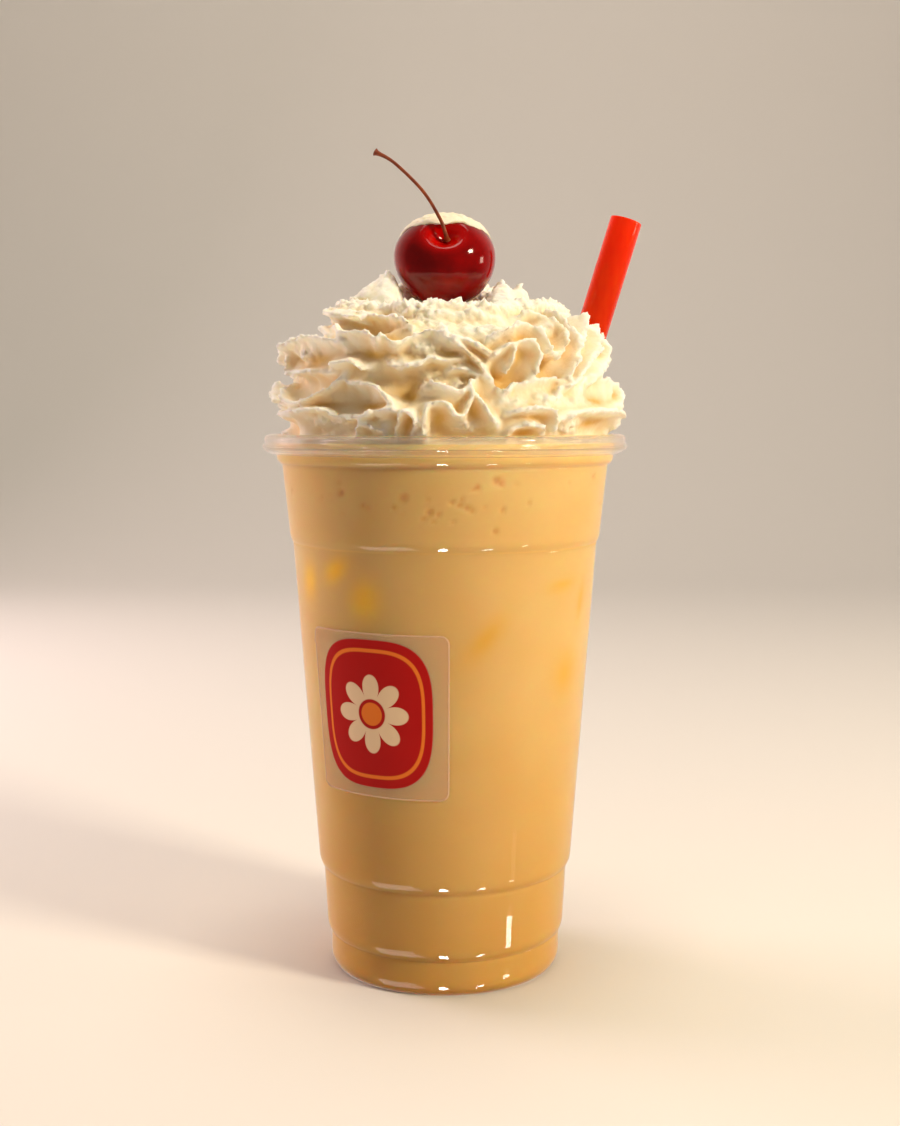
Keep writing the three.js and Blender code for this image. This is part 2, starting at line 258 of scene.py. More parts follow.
def spin_profile(profile, steps, closed):
    """A mesh of a profile of (radius, height) points spun once round the Z axis."""
    bm = bmesh.new()
    verts = [bm.verts.new((x, 0, z)) for x, z in profile]
    pairs = list(zip(verts, verts[1:])) + ([(verts[-1], verts[0])] if closed else [])
    edges = [bm.edges.new(pair) for pair in pairs]
    bmesh.ops.spin(
        bm, geom=verts + edges, cent=(0, 0, 0), axis=(0, 0, 1), angle=tau, steps=steps, use_merge=True
    )
    bmesh.ops.remove_doubles(bm, verts=bm.verts, dist=1e-6)
    bmesh.ops.recalc_face_normals(bm, faces=bm.faces)
    return bm


inside = [(0.0, CUP_WALL)] + [
    (cup_radius(h) - CUP_WALL, max(h, CUP_WALL)) for h in wall_heights(CUP_SECTIONS[-1][2])
]
bead = [
    (BEAD_CENTRE[0] + BEAD_RADIUS * cos(turn), BEAD_CENTRE[1] + BEAD_RADIUS * sin(turn))
    for turn in (BEAD_START - BEAD_SWEEP * share for share in shares(BEAD_STEPS))
]
lip = [(LIP_RADIUS - step_in, LIP_HEIGHT - drop) for step_in, drop in LIP_ROLL]
wall_run = inside + bead + lip + [LIP_TUCK]
bm = spin_profile(beside(wall_run, CUP_WALL) + wall_run[::-1], CUP_SPIN, False)


def feed(socket, value):
    """Gives a socket a fixed value, or links another socket to it."""
    if isinstance(value, bpy.types.NodeSocket):
        links.new(value, socket)
    else:
        socket.default_value = value


def reckon(operation, *values):
    """A sum of fixed values or sockets, in the material at hand."""
    node = nodes.new("ShaderNodeMath")
    node.operation = operation
    for socket, value in zip(node.inputs, values):
        feed(socket, value)
    return node.outputs["Value"]


def speckle(scale, detail=2.0, distortion=0.0, squeeze=(1.0, 1.0, 1.0)):
    """Cloudy noise on the piece's own coordinates, drawn out along an axis that is squeezed."""
    place = nodes.new("ShaderNodeTexCoord").outputs["Object"]
    squeezed = nodes.new("ShaderNodeMapping")
    squeezed.inputs["Scale"].default_value = squeeze
    links.new(place, squeezed.inputs["Vector"])
    node = nodes.new("ShaderNodeTexNoise")
    node.inputs["Scale"].default_value = scale
    node.inputs["Detail"].default_value = detail
    node.inputs["Distortion"].default_value = distortion
    links.new(squeezed.outputs["Vector"], node.inputs["Vector"])
    return node.outputs["Fac"]


def relief(height, strength, distance):
    """Fine bumps on the surface of the material at hand."""
    node = nodes.new("ShaderNodeBump")
    node.inputs["Strength"].default_value = strength
    node.inputs["Distance"].default_value = distance
    links.new(height, node.inputs["Height"])
    links.new(node.outputs["Normal"], shader.inputs["Normal"])


clear_plastic, nodes, links, shader = new_material("clear_plastic")
shader.inputs["Base Color"].default_value = (1.0, 0.98, 0.965, 1)
shader.inputs["IOR"].default_value = 1.42
shader.inputs["Transmission Weight"].default_value = 0.93
scuffs = speckle(90, 6)
links.new(ranged(scuffs, 0.35, 0.75, *CUP_ROUGHNESS), shader.inputs["Roughness"])
relief(speckle(60), 0.05, 0.0006)
ray = nodes.new("ShaderNodeLightPath")
let_through = nodes.new("ShaderNodeBsdfTransparent")
let_through.inputs["Color"].default_value = (0.96, 0.95, 0.93, 1)
choose = nodes.new("ShaderNodeMixShader")
links.new(reckon("MAXIMUM", ray.outputs["Is Shadow Ray"], CUP_THINNESS), choose.inputs[0])
links.new(shader.outputs["BSDF"], choose.inputs[1])
links.new(let_through.outputs["BSDF"], choose.inputs[2])
links.new(choose.outputs["Shader"], nodes["Material Output"].inputs["Surface"])

cup = make_piece("cup_shell", bm, clear_plastic)
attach(cup, "root")
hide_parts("cup")

# Milkshake: a thick vanilla drink that fills the cup to its neck. Its skin lies within the cup's
# wall, with small air pits under the rim and soft yellow bits pressed against the plastic.
DRINK_INSET = 0.00018
DRINK_LEVEL = 0.1432
DRINK_SPIN = 384
FOOT_RADII = (0.0, 0.014)
TOP_RADII = (0.03, 0.012, 0.0)
FINE_UNTIL = 0.035
FINE_FROM = 0.1165
FINE_ROW = 0.0006
COARSE_ROW = 0.0016
# Each yellow bit: degrees right of the front, height, half length, half width, slope in degrees
YELLOW_BITS = [
    (15, 0.0945, 0.0072, 0.0030, 48),
    (54, 0.0835, 0.0060, 0.0050, 80),
    (48, 0.1070, 0.0052, 0.0014, 5),
    (62, 0.1020, 0.0050, 0.0018, 82),
    (-60, 0.1075, 0.0050, 0.0036, 70),
    (-43, 0.1110, 0.0050, 0.0028, 30),
    (-30, 0.1040, 0.0052, 0.0044, 75),
    (128, 0.0980, 0.0060, 0.0034, 35),
    (170, 0.0820, 0.0050, 0.0040, 60),
    (-150, 0.1010, 0.0060, 0.0030, 15),
    (-110, 0.0780, 0.0046, 0.0034, 70),
]
# Each air pit seen at the front: degrees right of the front, height, radius
AIR_PITS = [
    (-13.6, 0.1300, 0.0015), (-5.0, 0.1265, 0.0013), (2.5, 0.1290, 0.0008), (5.0, 0.1283, 0.0009),
    (7.5, 0.1276, 0.0010), (9.0, 0.1268, 0.0008), (17.0, 0.1342, 0.0014), (18.5, 0.1334, 0.0010),
    (10.5, 0.1325, 0.0010), (19.5, 0.1270, 0.0009), (17.0, 0.1218, 0.0010), (-36.5, 0.1310, 0.0013),
    (-28.0, 0.1280, 0.0010), (-2.0, 0.1260, 0.0008), (-7.0, 0.1250, 0.0007), (62.0, 0.1345, 0.0010),
]
PIT_COUNT = 60
PIT_BAND = (0.1225, 0.1350)
PIT_MOST = 0.129
PIT_LEAST_SIZE = 0.0004
PIT_MORE_SIZE = 0.0009
PIT_DEPTH = 0.0006
SHAKE_DEEP = (0.70, 0.440, 0.122, 1)
SHAKE_PALE = (0.735, 0.530, 0.200, 1)
# Painted shade: the drink is coloured deeper towards the foot of the cup
SHAKE_LOW_SHADE = (0.60, 0.315, 0.020, 1)
# Painted light: the yellow bits are coloured paler on the left of the cup, which lies in shade, and deeper
# on the right
BIT_PAINTED_LIGHT_LEFT = (0.98, 0.62, 0.030, 1)
BIT_AT_RIGHT = (0.72, 0.425, 0.040, 1)
# Painted shade: the drink is coloured darker in its air pits
PIT_SHADE = (0.70, 0.39, 0.09, 1)


def around_cup(place):
    """Turn to the right of the front at which a place lies."""
    return atan2(place.x, -place.y)


def outward(turn):
    """Level direction away from the cup's axis at a turn to the right of the front."""
    return Vector((sin(turn), -cos(turn), 0))


heights = []
height = 0.0
while height < DRINK_LEVEL:
    heights.append(height)
    height += FINE_ROW if height > FINE_FROM or height < FINE_UNTIL else COARSE_ROW
heights.append(DRINK_LEVEL)
skin = [(radius, DRINK_INSET) for radius in FOOT_RADII]
skin += [(cup_radius(h) - DRINK_INSET, max(h, DRINK_INSET)) for h in heights]
skin += [(radius, DRINK_LEVEL) for radius in TOP_RADII]
bm = spin_profile(skin, DRINK_SPIN, False)
chance = random.Random(7)
pits = [(radians(turn), pit_height, size) for turn, pit_height, size in AIR_PITS]
while len(pits) < PIT_COUNT:
    pit_size = PIT_LEAST_SIZE + PIT_MORE_SIZE * chance.random() ** 3
    pits.append((chance.uniform(-pi, pi), chance.triangular(*PIT_BAND, PIT_MOST), pit_size))
pit_spots = []
for turn, pit_height, size in pits:
    spot = outward(turn) * (cup_radius(pit_height) - DRINK_INSET)
    pit_spots.append((spot + Vector((0, 0, pit_height)), size))
yellow = bm.verts.layers.float.new("yellow")
pitted = bm.verts.layers.float.new("pit")
for vert in bm.verts:
    turn = around_cup(vert.co)
    radius = hypot(vert.co.x, vert.co.y)
    for bit_turn, bit_height, half_length, half_width, slope in YELLOW_BITS:
        offset = (turn - radians(bit_turn) + pi) % tau - pi
        across, up = offset * radius, vert.co.z - bit_height
        along = across * cos(radians(slope)) + up * sin(radians(slope))
        aside = up * cos(radians(slope)) - across * sin(radians(slope))
        near = exp(-((along / half_length) ** 2 + (aside / half_width) ** 2))
        vert[yellow] = max(vert[yellow], near)
    if vert.co.z > PIT_BAND[0] - 0.002 and radius > TOP_RADII[0]:
        for spot, size in pit_spots:
            gap = (vert.co - spot).length / size
            if gap < 1:
                vert[pitted] = max(vert[pitted], 1 - gap * gap)
for vert in bm.verts:
    if vert[pitted] > 0:
        vert.co -= outward(around_cup(vert.co)) * PIT_DEPTH * vert[pitted]


def toned(value, *tones):
    """Colours that blend from tone to tone, each a value and its colour."""
    node = nodes.new("ShaderNodeValToRGB")
    links.new(value, node.inputs["Fac"])
    stops = node.color_ramp.elements
    for stop, (position, colour) in zip(stops, (tones[0], tones[-1])):
        stop.position = position
        stop.color = colour
    for position, colour in tones[1:-1]:
        stops.new(position).color = colour
    return node.outputs["Color"]


def paint(under, over, share):
    """A colour laid over another as far as share goes, each a fixed colour or a socket."""
    node = nodes.new("ShaderNodeMix")
    node.data_type = "RGBA"
    links.new(share, node.inputs["Factor"])
    feed(node.inputs["A"], under)
    feed(node.inputs["B"], over)
    return node.outputs["Result"]


def carried(name):
    """A value that the mesh carries at its vertices."""
    node = nodes.new("ShaderNodeAttribute")
    node.attribute_name = name
    return node.outputs["Fac"]


shake, nodes, links, shader = new_material("vanilla_shake")
place = nodes.new("ShaderNodeTexCoord").outputs["Object"]
marble = speckle(26, 3, 0.6)
# Painted shade, deepening towards the foot of the cup
low_shade = ranged(axis_of(place, "Z"), 0.075, 0.004, 0.0, 0.8)
# Painted light: the bits' tone runs from pale on the shaded left to deep on the right
rightness = ranged(axis_of(place, "X"), -0.012, 0.006)
bit_painted_light = toned(rightness, (0.0, BIT_PAINTED_LIGHT_LEFT), (1.0, BIT_AT_RIGHT))
colour = toned(marble, (0.3, SHAKE_DEEP), (0.72, SHAKE_PALE))
colour = paint(colour, SHAKE_LOW_SHADE, low_shade)
colour = paint(colour, bit_painted_light, reckon("MULTIPLY", carried("yellow"), 0.95))
# Painted shade in the air pits
colour = paint(colour, PIT_SHADE, carried("pit"))
links.new(colour, shader.inputs["Base Color"])
shader.inputs["Roughness"].default_value = 0.55
shader.inputs["Specular IOR Level"].default_value = 0.15
shader.inputs["Subsurface Weight"].default_value = 0.9
shader.inputs["Subsurface Radius"].default_value = (1.0, 0.45, 0.2)
shader.inputs["Subsurface Scale"].default_value = 0.012

drink = make_piece("vanilla_drink", bm, shake)
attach(drink, "root")
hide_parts("milkshake")

# Label: a square of milky film stuck to the front left of the cup, a little creased, printed with
# a plain red badge, a pale daisy and an orange ring.
LABEL_MIDDLE = radians(-28.4)
LABEL_BOTTOM = 0.0532
LABEL_TOP = 0.0959
LABEL_HALF_WIDTH = 0.0201
LABEL_CORNER = 0.0024
LABEL_LIFT = 0.00012
LABEL_CREASE = 0.00032
LABEL_COLUMNS = 80
LABEL_ROWS = 86
FILM = 0.00012
FILM_TONE = (0.84, 0.58, 0.40, 1)
FILM_EDGE = 0.0004
FILM_OPACITY = 0.17
PRINT_RED = (0.48, 0.002, 0.001, 1)
PRINT_ORANGE = (0.86, 0.20, 0.02, 1)
PRINT_PALE = (0.86, 0.62, 0.40, 1)
# Sizes of the print in millimetres, and its middle as shares of the film's width and height
MILLIMETRES = 1000
PRINT_MIDDLE = (0.49, 0.51)
BADGE_HALF_SIZE = (16.4, 19.2)
BADGE_SQUARENESS = 3.2
RING_INSIDE = 0.55
RING_OUTSIDE = 0.66
PETALS = 8
PETAL_ROOT = 4.6
PETAL_LENGTH = 5.6
PETAL_ROUNDNESS = 0.55
HUB_RADIUS = 3.0
HUB_GAP = 3.9

label_half_height = (LABEL_TOP - LABEL_BOTTOM) / 2
label_centre_height = (LABEL_TOP + LABEL_BOTTOM) / 2
bm = bmesh.new()
bmesh.ops.create_grid(bm, x_segments=LABEL_COLUMNS, y_segments=LABEL_ROWS, size=1.0)
uv = bm.loops.layers.uv.new("film")
for face in bm.faces:
    for loop in face.loops:
        loop[uv].uv = ((loop.vert.co.x + 1) / 2, (loop.vert.co.y + 1) / 2)
for vert in bm.verts:
    across, up = vert.co.x * LABEL_HALF_WIDTH, vert.co.y * label_half_height
    over_x = abs(across) - (LABEL_HALF_WIDTH - LABEL_CORNER)
    over_y = abs(up) - (label_half_height - LABEL_CORNER)
    reach = hypot(over_x, over_y)
    if over_x > 0 and over_y > 0 and reach > 0:
        pull = max(over_x, over_y) / reach
        across += (over_x * pull - over_x) * (1 if across > 0 else -1)
        up += (over_y * pull - over_y) * (1 if up > 0 else -1)
    height = label_centre_height + up
    turn = LABEL_MIDDLE + across / cup_radius(label_centre_height)
    crease = noise.noise(Vector((across * 160 + 5, up * 420 - across * 300, 3)))
    edge = max(abs(vert.co.x), abs(vert.co.y)) ** 6
    lift = LABEL_LIFT + LABEL_CREASE * max(crease, 0) ** 2 * (0.35 + edge)
    vert.co = outward(turn) * (cup_radius(height) + lift) + Vector((0, 0, height))
bmesh.ops.recalc_face_normals(bm, faces=bm.faces)
bmesh.ops.solidify(bm, geom=bm.faces[:], thickness=-FILM)


def within(value, limit, blur):
    """1 where a value is below a limit, 0 above it, with a soft edge."""
    return ranged(value, limit + blur, limit - blur)


def without(share):
    """What a share leaves of the whole."""
    return reckon("SUBTRACT", 1.0, share)


film, nodes, links, shader = new_material("label_film")
uv_place = nodes.new("ShaderNodeUVMap")
uv_place.uv_map = "film"
film_sides = [axis_of(uv_place.outputs["UV"], axis) for axis in "XY"]
film_sizes = (2 * LABEL_HALF_WIDTH * MILLIMETRES, 2 * label_half_height * MILLIMETRES)
print_sides = [
    reckon("MULTIPLY", reckon("SUBTRACT", side, middle), size)
    for side, middle, size in zip(film_sides, PRINT_MIDDLE, film_sizes)
]
badge_sides = [
    reckon("POWER", reckon("ABSOLUTE", reckon("DIVIDE", side, half_size)), BADGE_SQUARENESS)
    for side, half_size in zip(print_sides, BADGE_HALF_SIZE)
]
badge = reckon("ADD", *badge_sides)
inside_badge = within(badge, 1.0, 0.02)
ring = reckon("MULTIPLY", within(badge, RING_OUTSIDE, 0.015), without(within(badge, RING_INSIDE, 0.015)))
reach = reckon("SQRT", reckon("ADD", *(reckon("MULTIPLY", side, side) for side in print_sides)))
turn = reckon("ARCTAN2", print_sides[1], print_sides[0])
petal_wave = reckon("ABSOLUTE", reckon("COSINE", reckon("MULTIPLY", turn, PETALS / 2)))
petal_swell = reckon("MULTIPLY", reckon("POWER", petal_wave, PETAL_ROUNDNESS), PETAL_LENGTH)
petals = within(reckon("SUBTRACT", reach, reckon("ADD", PETAL_ROOT, petal_swell)), 0.0, 0.15)
colour = paint(FILM_TONE, PRINT_RED, inside_badge)
colour = paint(colour, PRINT_ORANGE, ring)
colour = paint(colour, PRINT_PALE, reckon("MULTIPLY", petals, without(within(reach, HUB_GAP, 0.12))))
colour = paint(colour, PRINT_ORANGE, within(reach, HUB_RADIUS, 0.12))
links.new(colour, shader.inputs["Base Color"])
relief(speckle(900), 0.15, 0.0001)
edge_gaps = [
    reckon("SUBTRACT", 0.5, reckon("ABSOLUTE", reckon("SUBTRACT", side, 0.5))) for side in film_sides
]
film_edge = within(reckon("MINIMUM", *edge_gaps), FILM_EDGE / LABEL_HALF_WIDTH / 2, 0.004)
solid_share = reckon("MAXIMUM", inside_badge, reckon("MULTIPLY", film_edge, 0.4))
opacity = reckon("ADD", FILM_OPACITY, reckon("MULTIPLY", solid_share, 1 - FILM_OPACITY))
links.new(opacity, shader.inputs["Alpha"])
shader.inputs["Roughness"].default_value = 0.42
shader.inputs["Specular IOR Level"].default_value = 0.18

label = make_piece("film_label", bm, film)
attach(label, "root")
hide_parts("label")

# Straw: an extruded tube of red-orange plastic that lets a little light through, stood in the
# drink and leaning on the cream to the right.
STRAW_RADIUS = 0.0045
STRAW_WALL = 0.00045
STRAW_FOOT = Vector((-0.0107, 0.016, 0.004))
STRAW_LEAN = Vector((0.307, 0.03, 1)).normalized()
STRAW_LENGTH = 0.210
STRAW_SIDES = 64
STRAW_ROWS = 40
STRAW_LIP_STEPS = 6
STRAW_DEEP = (0.98, 0.022, 0.001, 1)
STRAW_BRIGHT = (1.0, 0.036, 0.001, 1)

bore = STRAW_RADIUS - STRAW_WALL
lip_round = STRAW_WALL / 2
straight_top = STRAW_LENGTH - lip_round
rows = [STRAW_LENGTH * share for share in shares(STRAW_ROWS)[1:-1]]
tube = [(STRAW_RADIUS, height) for height in (lip_round, *rows, straight_top)]
end = [
    (STRAW_RADIUS - lip_round * (1 - cos(turn)), lip_round * sin(turn))
    for turn in (pi * share for share in shares(STRAW_LIP_STEPS)[1:-1])
]
top_end = [(radius, straight_top + rise) for radius, rise in end]
foot_end = [(radius, lip_round - rise) for radius, rise in end[::-1]]
inner = [(bore, straight_top), (bore, lip_round)]
bm = spin_profile(tube + top_end + inner + foot_end, STRAW_SIDES, True)
stand = Matrix.Translation(STRAW_FOOT) @ STRAW_LEAN.to_track_quat("Z", "Y").to_matrix().to_4x4()
bmesh.ops.transform(bm, matrix=stand, verts=bm.verts)

straw_plastic, nodes, links, shader = new_material("straw_plastic")
drawn = speckle(700, squeeze=(1.0, 1.0, 0.04))
links.new(toned(drawn, (0.3, STRAW_DEEP), (0.7, STRAW_BRIGHT)), shader.inputs["Base Color"])
relief(drawn, 0.05, 0.0002)
shader.inputs["Roughness"].default_value = 0.14
shader.inputs["Specular IOR Level"].default_value = 0.3
shader.inputs["Subsurface Weight"].default_value = 0.7
shader.inputs["Subsurface Radius"].default_value = (1.0, 0.2, 0.05)
shader.inputs["Subsurface Scale"].default_value = 0.004

straw = make_piece("drinking_straw", bm, straw_plastic)
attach(straw, "root")
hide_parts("straw")

# Cherry: a dark red sweet cherry with its stem dimple turned to the front, glossy and a little
# flatter above than below. It sits in the top of the cream.
CHERRY_CENTRE = Vector((0, -0.002, 0.1918))
CHERRY_RADIUS = 0.0135
CHERRY_HALF_HEIGHT = 0.0124
CHERRY_SHOULDER = 0.05
CHERRY_CROWN = 0.83
CHERRY_TILT = radians(58)
CHERRY_AXIS = Vector((0, -sin(CHERRY_TILT), cos(CHERRY_TILT)))
CHERRY_UNEVEN = 0.012
CHERRY_ROWS = 72
CHERRY_SIDES = 128
CHERRY_DARK = (0.13, 0.0004, 0.0004, 1)
CHERRY_RED = (0.33, 0.0006, 0.0005, 1)
DIMPLE_DEPTH = 0.0044
DIMPLE_RADIUS = 0.0037
DIMPLE_FLOOR = 0.0095
# Painted light: a brighter red glow is coloured round the dimple, where the cherry faces the front
DIMPLE_GLOW = 0.0062
DIMPLE_PAINTED_GLOW = (0.52, 0.001, 0.0005, 1)


def cherry_point(polar):
    """Radius and height of the cherry's skin about its own axis, from the dimple at 0 to the tip."""
    radius = CHERRY_RADIUS * sin(polar) * (1 + CHERRY_SHOULDER * cos(polar))
    dip = DIMPLE_DEPTH * exp(-((radius / DIMPLE_RADIUS) ** 2)) if polar < pi / 2 else 0.0
    return radius, CHERRY_HALF_HEIGHT * cos(polar) - dip


def cherry_reach(direction):
    """Distance from the cherry's centre to its skin, dimple left out, in a direction."""
    stretched = direction.copy()
    if stretched.z > 0:
        stretched.z /= CHERRY_CROWN
    stretch = stretched.length
    along = stretched.normalized().dot(CHERRY_AXIS)
    across = sqrt(max(1 - along * along, 0.0))
    girth = CHERRY_RADIUS * (1 + CHERRY_SHOULDER * along)
    return 1 / hypot(along / CHERRY_HALF_HEIGHT, across / girth) / stretch


profile = [cherry_point(pi * (1 - share)) for share in shares(CHERRY_ROWS)]
profile[0] = (0.0, profile[0][1])
profile[-1] = (0.0, profile[-1][1])
bm = spin_profile(profile, CHERRY_SIDES, False)
bmesh.ops.rotate(bm, verts=bm.verts, cent=(0, 0, 0), matrix=Matrix.Rotation(CHERRY_TILT, 3, "X"))
glow_share = bm.verts.layers.float.new("dimple")
for vert in bm.verts:
    vert[glow_share] = smooth(1.35 - (vert.co - CHERRY_AXIS * DIMPLE_FLOOR).length / DIMPLE_GLOW)
    if vert.co.z > 0:
        vert.co.z *= CHERRY_CROWN
    vert.co *= 1 + CHERRY_UNEVEN * noise.noise(vert.co * 90)
bmesh.ops.translate(bm, verts=bm.verts, vec=CHERRY_CENTRE)

cherry_skin, nodes, links, shader = new_material("cherry_skin")
mottled = toned(speckle(110, 4), (0.32, CHERRY_DARK), (0.72, CHERRY_RED))
# The painted glow round the dimple
links.new(paint(mottled, DIMPLE_PAINTED_GLOW, carried("dimple")), shader.inputs["Base Color"])
shader.inputs["Roughness"].default_value = 0.09
shader.inputs["Specular IOR Level"].default_value = 0.32
shader.inputs["Subsurface Weight"].default_value = 0.15
shader.inputs["Subsurface Radius"].default_value = (1.0, 0.08, 0.05)
shader.inputs["Subsurface Scale"].default_value = 0.003

cherry = make_piece("sweet_cherry", bm, cherry_skin)
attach(cherry, "root")
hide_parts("cherry")

# Cherry stem: a dry brown stalk, thick where it leaves the dimple, bowed to the left, with the
# small knob at its end where it broke from the twig.
STEM_ROUTE = [
    Vector((0.0006, -0.0093, 0.1956)),
    Vector((0.0001, -0.0110, 0.1974)),
    Vector((-0.0013, -0.0110, 0.2010)),
    Vector((-0.0058, -0.0090, 0.2083)),
    Vector((-0.0133, -0.0070, 0.2158)),
    Vector((-0.0182, -0.0056, 0.2187)),
]
STEM_BASE = 0.00095
STEM_SLIM = 0.00043
STEM_KNOB = 0.00105
STEM_STEPS = 90
STEM_SIDES = 16
STEM_DARK = (0.14, 0.016, 0.005, 1)
STEM_BROWN = (0.36, 0.075, 0.016, 1)


def along_route(points, share):
    """A place on a smooth curve through points, share running from 0 to 1."""
    spans = len(points) - 1
    index = min(int(share * spans), spans - 1)
    t = share * spans - index
    before, start = points[max(index - 1, 0)], points[index]
    stop, after = points[index + 1], points[min(index + 2, spans)]
    return 0.5 * (
        2 * start
        + (stop - before) * t
        + (2 * before - 5 * start + 4 * stop - after) * t * t
        + (3 * start - before - 3 * stop + after) * t**3
    )


def heading(points, share):
    """The way that the smooth curve through points runs at a share of it."""
    return along_route(points, min(share + 0.01, 1)) - along_route(points, max(share - 0.01, 0))


def round_station(here, run, thick):
    """A matrix that sets a circle of radius thick at a place, square to a run."""
    facing = run.to_track_quat("Z", "X").to_matrix().to_4x4()
    return Matrix.Translation(here) @ facing @ Matrix.Diagonal((thick, thick, thick, 1))


def sweep_circle(bm, sides, stations):
    """Draws a circle out through stations, each a matrix that sets and sizes it."""
    circle = bmesh.ops.create_circle(bm, segments=sides, radius=1.0)["verts"]
    ring = list(dict.fromkeys(edge for vert in circle for edge in vert.link_edges))
    bmesh.ops.transform(bm, matrix=stations[0], verts=circle)
    for last, station in zip(stations, stations[1:]):
        grown = bmesh.ops.extrude_edge_only(bm, edges=ring)["geom"]
        ring = [g for g in grown if isinstance(g, bmesh.types.BMEdge)]
        verts = [g for g in grown if isinstance(g, bmesh.types.BMVert)]
        bmesh.ops.transform(bm, matrix=station @ last.inverted(), verts=verts)


stations = []
for share in shares(STEM_STEPS):
    here = along_route(STEM_ROUTE, share)
    swell = (STEM_BASE - STEM_SLIM) * exp(-share * 8)
    knob = (STEM_KNOB - STEM_SLIM) * exp(-(1 - share) * 22)
    knots = 1 + 0.08 * noise.noise(here * 900)
    thick = (STEM_SLIM + swell + knob) * knots
    stations.append(round_station(here, heading(STEM_ROUTE, share), thick))
bm = bmesh.new()
sweep_circle(bm, STEM_SIDES, stations)
bmesh.ops.holes_fill(bm, edges=bm.edges, sides=STEM_SIDES)
bmesh.ops.recalc_face_normals(bm, faces=bm.faces)

stalk, nodes, links, shader = new_material("cherry_stalk")
fibre = speckle(420, 5)
links.new(toned(fibre, (0.3, STEM_DARK), (0.7, STEM_BROWN)), shader.inputs["Base Color"])
relief(fibre, 0.4, 0.0002)
shader.inputs["Roughness"].default_value = 0.5

stem = make_piece("cherry_stalk", bm, stalk)
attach(stem, "root")
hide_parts("cherry_stem")

# Whipped cream: aerated cream piped from a star nozzle in rising rings on a mound that fills the
# cup's neck. It is torn and grainy where it broke away and smooth in the hollows the nozzle left.
CREAM_VOXEL = 0.00056
CREAM_KEPT = 0.67
MOUND_SPIN = 96
ROPE_SIDES = 40
RING_SPIN = 120
FOLD_SIDES = 14
FOLD_STEPS = 10
PEAK_SIDES = 16
PEAK_STEPS = 8
# Painted shade: the cream is coloured deeper and warmer where it lies sunk below its neighbours, and paler
# where it stands out
CREAM_RECESS_SHADE = (0.84, 0.58, 0.22, 1)
CREAM_MIDDLE = (0.97, 0.86, 0.64, 1)
CREAM_PALE = (0.99, 0.95, 0.84, 1)
CREAM_HOLLOW_SHADE = (0.74, 0.43, 0.06, 1)
MOUND = [
    (0.0, 0.1390), (0.0449, 0.1390), (0.0450, 0.1440), (0.0400, 0.1520),
    (0.0350, 0.1650), (0.0270, 0.1730), (0.0150, 0.1770), (0.0, 0.1775),
]
# Each ring: reach at the front, more to the right, height, rise to the right, rise to the back, rope
CREAM_RINGS = [
    (0.0458, 0.0010, 0.1512, 0.0000, 0.0000, 0.0080),
    (0.0428, 0.0004, 0.1650, 0.0014, 0.0000, 0.0082),
    (0.0332, 0.0014, 0.1740, 0.0000, 0.0012, 0.0064),
    (0.0215, 0.0010, 0.1772, -0.0004, 0.0050, 0.0056),
]
